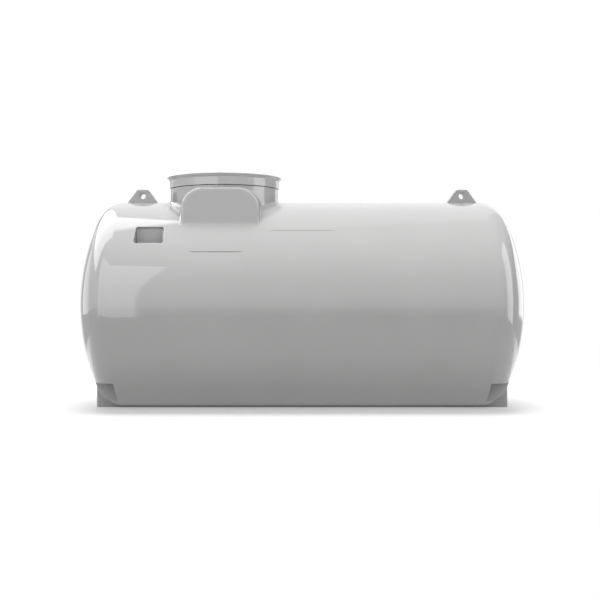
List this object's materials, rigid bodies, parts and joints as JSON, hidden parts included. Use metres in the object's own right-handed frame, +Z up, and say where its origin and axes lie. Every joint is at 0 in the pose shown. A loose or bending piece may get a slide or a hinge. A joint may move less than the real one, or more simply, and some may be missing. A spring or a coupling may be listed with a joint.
{
  "type": "water storage tank",
  "caption": "Horizontal moulded cylindrical water tank with dished ends, an offset manhole neck with lid, pipe pads, lifting ears, hand pockets and notched feet.",
  "frame": {"origin": "on the ground below the middle of the tank", "axes": "+X along the tank, with the manhole neck at -X; -Y is the front, where the label panels are; +Z up"},
  "size_m": [2.6824, 1.25, 1.412],
  "materials": {
    "shell": "glossy moulded light grey plastic",
    "ear": "moulded grey plastic, slightly duller than the shell",
    "lid": "glossy moulded light grey plastic",
    "seal": "black rubber"
  },
  "bodies": {
    "root": {"barrel_base": "shell", "barrel_lower_front": "shell", "barrel_lower_rear": "shell", "barrel_middle_front": "shell", "barrel_middle_rear": "shell", "barrel_upper_front": "shell", "barrel_upper_rear": "shell", "barrel_top_left": "shell", "barrel_top_right": "shell", "saddle_front_left": "shell", "saddle_front_right": "shell", "saddle_rear_left": "shell", "saddle_rear_right": "shell", "crown_left": "shell", "crown_right": "shell", "knuckle_left_top": "shell", "knuckle_left_front": "shell", "knuckle_left_rear": "shell", "knuckle_left_bottom": "shell", "knuckle_right_top": "shell", "knuckle_right_front": "shell", "knuckle_right_rear": "shell", "knuckle_right_bottom": "shell", "notch_left_front": "shell", "notch_left_rear": "shell", "notch_right_front": "shell", "notch_right_rear": "shell", "foot_left": "shell", "foot_right": "shell", "hand_pocket_front": "shell", "hand_pocket_rear": "shell", "pipe_pad_front": "shell", "pipe_pad_rear": "shell", "neck": "shell", "seal_ring": "seal", "lid_ring": "lid", "lid": "lid", "lifting_ear_left": "ear", "lifting_ear_right": "ear"}
  },
  "joints": []
}
